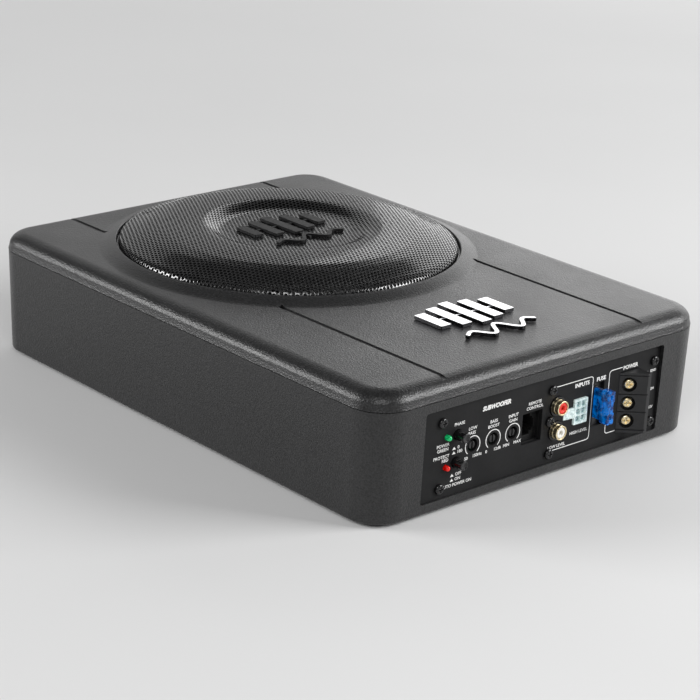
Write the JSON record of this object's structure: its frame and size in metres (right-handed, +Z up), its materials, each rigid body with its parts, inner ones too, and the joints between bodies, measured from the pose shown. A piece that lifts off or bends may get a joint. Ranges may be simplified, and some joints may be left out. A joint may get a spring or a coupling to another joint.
{
  "type": "powered car subwoofer",
  "caption": "Slim under-seat powered subwoofer: moulded case, round perforated grille, and a front connector and control panel.",
  "frame": {"origin": "centre of the footprint, at the undersides of the four rubber feet", "axes": "+Z up, -Y out of the connector panel, +X to the right when facing the panel"},
  "size_m": [0.25, 0.3522, 0.0893],
  "materials": {
    "moulded_case": "fine textured black",
    "black_plastic": "satin black",
    "black_steel": "satin black powder coat",
    "screw_steel": "black oxide",
    "rubber": "matt",
    "gold_plate": "polished gold plate",
    "panel_paint": "fine satin black paint",
    "silver_trim": "satin silver",
    "red_plastic": "gloss",
    "white_plastic": "translucent white",
    "blue_plastic": "translucent blue",
    "green_lens": "clear green",
    "red_lens": "clear red",
    "foam": "closed-cell foam",
    "surround_rubber": "matt",
    "cone_paper": "pressed fibre",
    "spider_cloth": "resin-dipped cloth",
    "basket_paint": "black",
    "zinc_steel": "zinc plated",
    "ferrite": "ground ferrite",
    "copper": "enamelled winding wire",
    "circuit_board": "solder mask",
    "aluminium": "extruded",
    "capacitor_sleeve": "shrink sleeve"
  },
  "bodies": {
    "case": {"amplifier_board": "circuit_board", "case_gasket": "foam", "case_screw_back_left": "screw_steel", "case_screw_back_right": "screw_steel", "case_screw_front_left": "screw_steel", "case_screw_front_right": "screw_steel", "control_panel": "panel_paint", "emblem_bars": "silver_trim", "emblem_wave": "silver_trim", "filter_capacitor": "capacitor_sleeve", "fuse_holder": "black_plastic", "grille": "black_steel", "grille_badge": "black_plastic", "heat_sink": "aluminium", "high_level_header": "white_plastic", "lower_case": "moulded_case", "magnet": "ferrite", "motor_back_plate": "zinc_steel", "motor_top_plate": "zinc_steel", "panel_screw_bottom_centre": "screw_steel", "panel_screw_bottom_left": "screw_steel", "panel_screw_bottom_right": "screw_steel", "panel_screw_middle_centre": "screw_steel", "panel_screw_top_centre": "screw_steel", "panel_screw_top_left": "screw_steel", "panel_screw_top_right": "screw_steel", "power_lamp": "green_lens", "protect_lamp": "red_lens", "rca_barrel_red": "gold_plate", "rca_barrel_white": "gold_plate", "rca_base": "black_plastic", "rca_insert_red": "red_plastic", "rca_insert_white": "white_plastic", "remote_jack": "black_plastic", "rubber_foot_back_left": "rubber", "rubber_foot_back_right": "rubber", "rubber_foot_front_left": "rubber", "rubber_foot_front_right": "rubber", "terminal_block": "black_plastic", "top_cover": "moulded_case", "toroid_transformer": "copper", "woofer_basket": "basket_paint", "woofer_screw_1": "screw_steel", "woofer_screw_2": "screw_steel", "woofer_screw_3": "screw_steel", "woofer_screw_4": "screw_steel"},
    "cone_assembly": {"cone": "cone_paper", "dust_cap": "cone_paper", "voice_coil": "copper", "surround": "surround_rubber", "spider": "spider_cloth"},
    "phase_button_cap": {"phase_button": "black_plastic"},
    "auto_on_button_cap": {"auto_on_button": "black_plastic"},
    "low_pass_pot": {"low_pass_shaft": "black_plastic"},
    "bass_boost_pot": {"bass_boost_shaft": "black_plastic"},
    "input_gain_pot": {"input_gain_shaft": "black_plastic"},
    "fuse": {"blade_fuse": "blue_plastic"},
    "ground_screw": {"ground_terminal_screw": "gold_plate"},
    "remote_screw": {"remote_terminal_screw": "gold_plate"},
    "power_screw": {"power_terminal_screw": "gold_plate"}
  },
  "joints": [
    {"name": "cone_travel", "type": "slide", "parent": "case", "child": "cone_assembly", "axis": [0, 0, 1], "range_m": [-0.005, 0.005], "stiffness_N_per_m": 3000, "deforming": ["surround", "spider"]},
    {"name": "phase_press", "type": "slide", "parent": "case", "child": "phase_button_cap", "axis": [0, 1, 0], "range_m": [0, 0.002], "stiffness_N_per_m": 900},
    {"name": "auto_on_press", "type": "slide", "parent": "case", "child": "auto_on_button_cap", "axis": [0, 1, 0], "range_m": [0, 0.002], "stiffness_N_per_m": 900},
    {"name": "low_pass_turn", "type": "hinge", "parent": "case", "child": "low_pass_pot", "pos_m": [-0.053, -0.16535, 0.0325], "axis": [0, -1, 0], "range_deg": [-150, 150]},
    {"name": "bass_boost_turn", "type": "hinge", "parent": "case", "child": "bass_boost_pot", "pos_m": [-0.0386, -0.16535, 0.0325], "axis": [0, -1, 0], "range_deg": [-150, 150]},
    {"name": "input_gain_turn", "type": "hinge", "parent": "case", "child": "input_gain_pot", "pos_m": [-0.024, -0.16535, 0.0325], "axis": [0, -1, 0], "range_deg": [-150, 150]},
    {"name": "fuse_pull", "type": "slide", "parent": "case", "child": "fuse", "axis": [0, -1, 0], "range_m": [0, 0.016]},
    {"name": "ground_screw_turn", "type": "hinge", "parent": "case", "child": "ground_screw", "pos_m": [0.06275, -0.1695, 0.0416], "axis": [-0.6513, -0.7588, 0], "range_deg": [-720, 720]},
    {"name": "remote_screw_turn", "type": "hinge", "parent": "case", "child": "remote_screw", "pos_m": [0.06275, -0.1695, 0.0306], "axis": [-0.6513, -0.7588, 0], "range_deg": [-720, 720]},
    {"name": "power_screw_turn", "type": "hinge", "parent": "case", "child": "power_screw", "pos_m": [0.06275, -0.1695, 0.0202], "axis": [-0.6513, -0.7588, 0], "range_deg": [-720, 720]}
  ]
}
